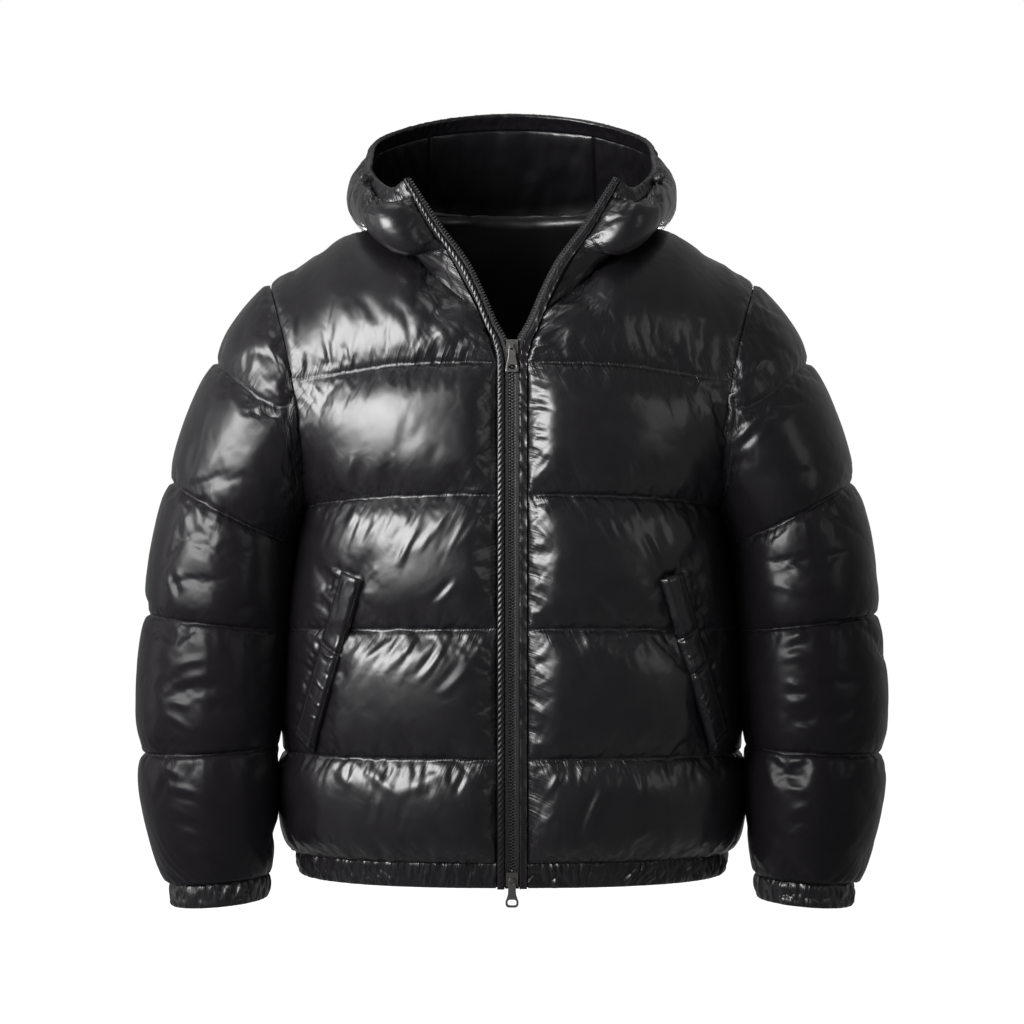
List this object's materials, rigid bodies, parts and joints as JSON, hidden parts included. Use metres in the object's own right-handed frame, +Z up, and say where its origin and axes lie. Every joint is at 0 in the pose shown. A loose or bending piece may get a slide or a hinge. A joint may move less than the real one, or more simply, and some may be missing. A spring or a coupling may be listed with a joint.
{
  "type": "puffer jacket",
  "caption": "Hooded quilted puffer jacket, zipped up and filled out as when worn, with an open neck, gathered cuffs and hem, and slanted pockets.",
  "frame": {"origin": "where the wearer's neck and shoulders hold the jacket up: on its centre line, level with the shoulders", "axes": "+Z up, the zipped front faces -Y, +X is the viewer's right seen from the front"},
  "size_m": [0.7746, 0.441, 0.8491],
  "materials": {
    "shell": "glossy coated nylon, black",
    "zip_tape": "matte woven tape, black",
    "zip_teeth": "satin black",
    "slider_metal": "dark gunmetal",
    "cord_lock": "matte black"
  },
  "bodies": {
    "jacket": {"back": "shell", "front_left": "shell", "front_right": "shell", "sleeve_left": "shell", "sleeve_right": "shell", "cuff_left": "shell", "cuff_right": "shell", "hem_band_left": "shell", "hem_band_right": "shell", "hem_band_back": "shell", "hood_left": "shell", "hood_right": "shell", "hood_center": "shell", "hood_channel": "shell", "front_edge_left": "shell", "front_edge_right": "shell", "zip_tape_left": "zip_tape", "zip_tape_right": "zip_tape", "zip_chain": "zip_teeth", "zip_teeth_left": "zip_teeth", "zip_teeth_right": "zip_teeth", "slider_upper": "slider_metal", "slider_lower": "slider_metal", "pocket_left": "shell", "pocket_right": "shell", "cord_lock_left": "cord_lock", "cord_lock_right": "cord_lock"},
    "upper_pull": {"pull_upper": "slider_metal"},
    "lower_pull": {"pull_lower": "slider_metal"}
  },
  "joints": [
    {"name": "upper_pull_swing", "type": "hinge", "parent": "jacket", "child": "upper_pull", "pos_m": [0, -0.15436, -0.12286], "axis": [-1, 0, 0], "range_deg": [0, 170]},
    {"name": "lower_pull_swing", "type": "hinge", "parent": "jacket", "child": "lower_pull", "pos_m": [0, -0.15654, -0.65699], "axis": [-1, 0, 0], "range_deg": [0, 170]}
  ]
}
